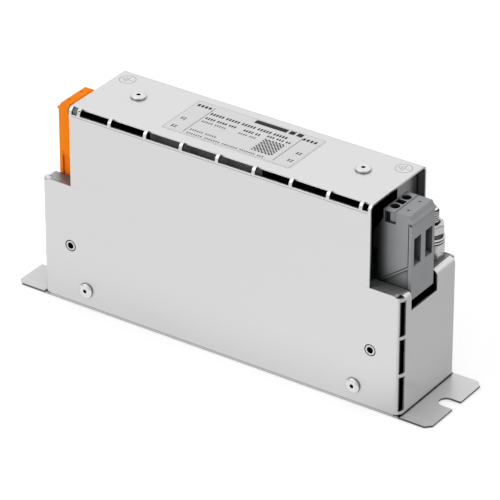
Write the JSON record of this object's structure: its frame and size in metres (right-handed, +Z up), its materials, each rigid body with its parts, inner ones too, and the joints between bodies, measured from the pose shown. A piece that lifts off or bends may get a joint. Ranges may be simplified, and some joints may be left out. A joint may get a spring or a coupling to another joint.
{
  "type": "emi line filter",
  "caption": "Slim folded-sheet line filter with slotted end flanges, stepped shoulders, a terminal block and an earth stud at each end, perforated bend lines and riveted seams.",
  "frame": {"origin": "middle of the underside, at the bottom centre of the whole part", "axes": "+X along the case to the grey load-side terminal block, +Y to the back panel, +Z up"},
  "size_m": [0.232, 0.0492, 0.1064],
  "materials": {
    "case_sheet": "matt folded sheet",
    "plated_steel": "bright nickel plate",
    "rivet_alloy": "bright drawn",
    "cage_steel": "zinc plate",
    "contact_metal": "tinned",
    "grey_plastic": "fine moulded grain",
    "orange_plastic": "fine moulded grain",
    "board_laminate": "solder resist",
    "ferrite": "coated ring",
    "enamelled_wire": "enamelled copper",
    "seat_plastic": "moulded",
    "capacitor_yellow": "moulded box",
    "capacitor_blue": "dipped coat",
    "resistor_ceramic": "ceramic block"
  },
  "bodies": {
    "root": {"cover": "case_sheet", "base_plate": "case_sheet", "load_end_bracket": "case_sheet", "line_end_bracket": "case_sheet", "front_rivets": "rivet_alloy", "back_rivets": "rivet_alloy", "top_rivets": "rivet_alloy", "threaded_standoffs": "plated_steel", "earth_studs": "plated_steel", "earth_collar_nuts": "plated_steel", "earth_washers": "plated_steel", "earth_lock_washers": "plated_steel", "earth_nuts": "plated_steel", "load_terminal_housing": "grey_plastic", "line_terminal_housing": "orange_plastic", "load_clamp_cages": "cage_steel", "line_clamp_cages": "cage_steel", "load_clamp_screws": "cage_steel", "line_clamp_screws": "cage_steel", "load_contacts": "contact_metal", "line_contacts": "contact_metal", "circuit_board": "board_laminate", "board_pillars": "cage_steel", "board_screws": "plated_steel", "upper_choke_core": "ferrite", "upper_choke_seat": "seat_plastic", "upper_choke_divider": "seat_plastic", "upper_front_winding": "enamelled_wire", "upper_back_winding": "enamelled_wire", "lower_choke_core": "ferrite", "lower_choke_seat": "seat_plastic", "lower_choke_divider": "seat_plastic", "lower_left_winding": "enamelled_wire", "lower_right_winding": "enamelled_wire", "x_capacitors": "capacitor_yellow", "y_capacitors": "capacitor_blue", "bleed_resistor": "resistor_ceramic"}
  },
  "joints": []
}
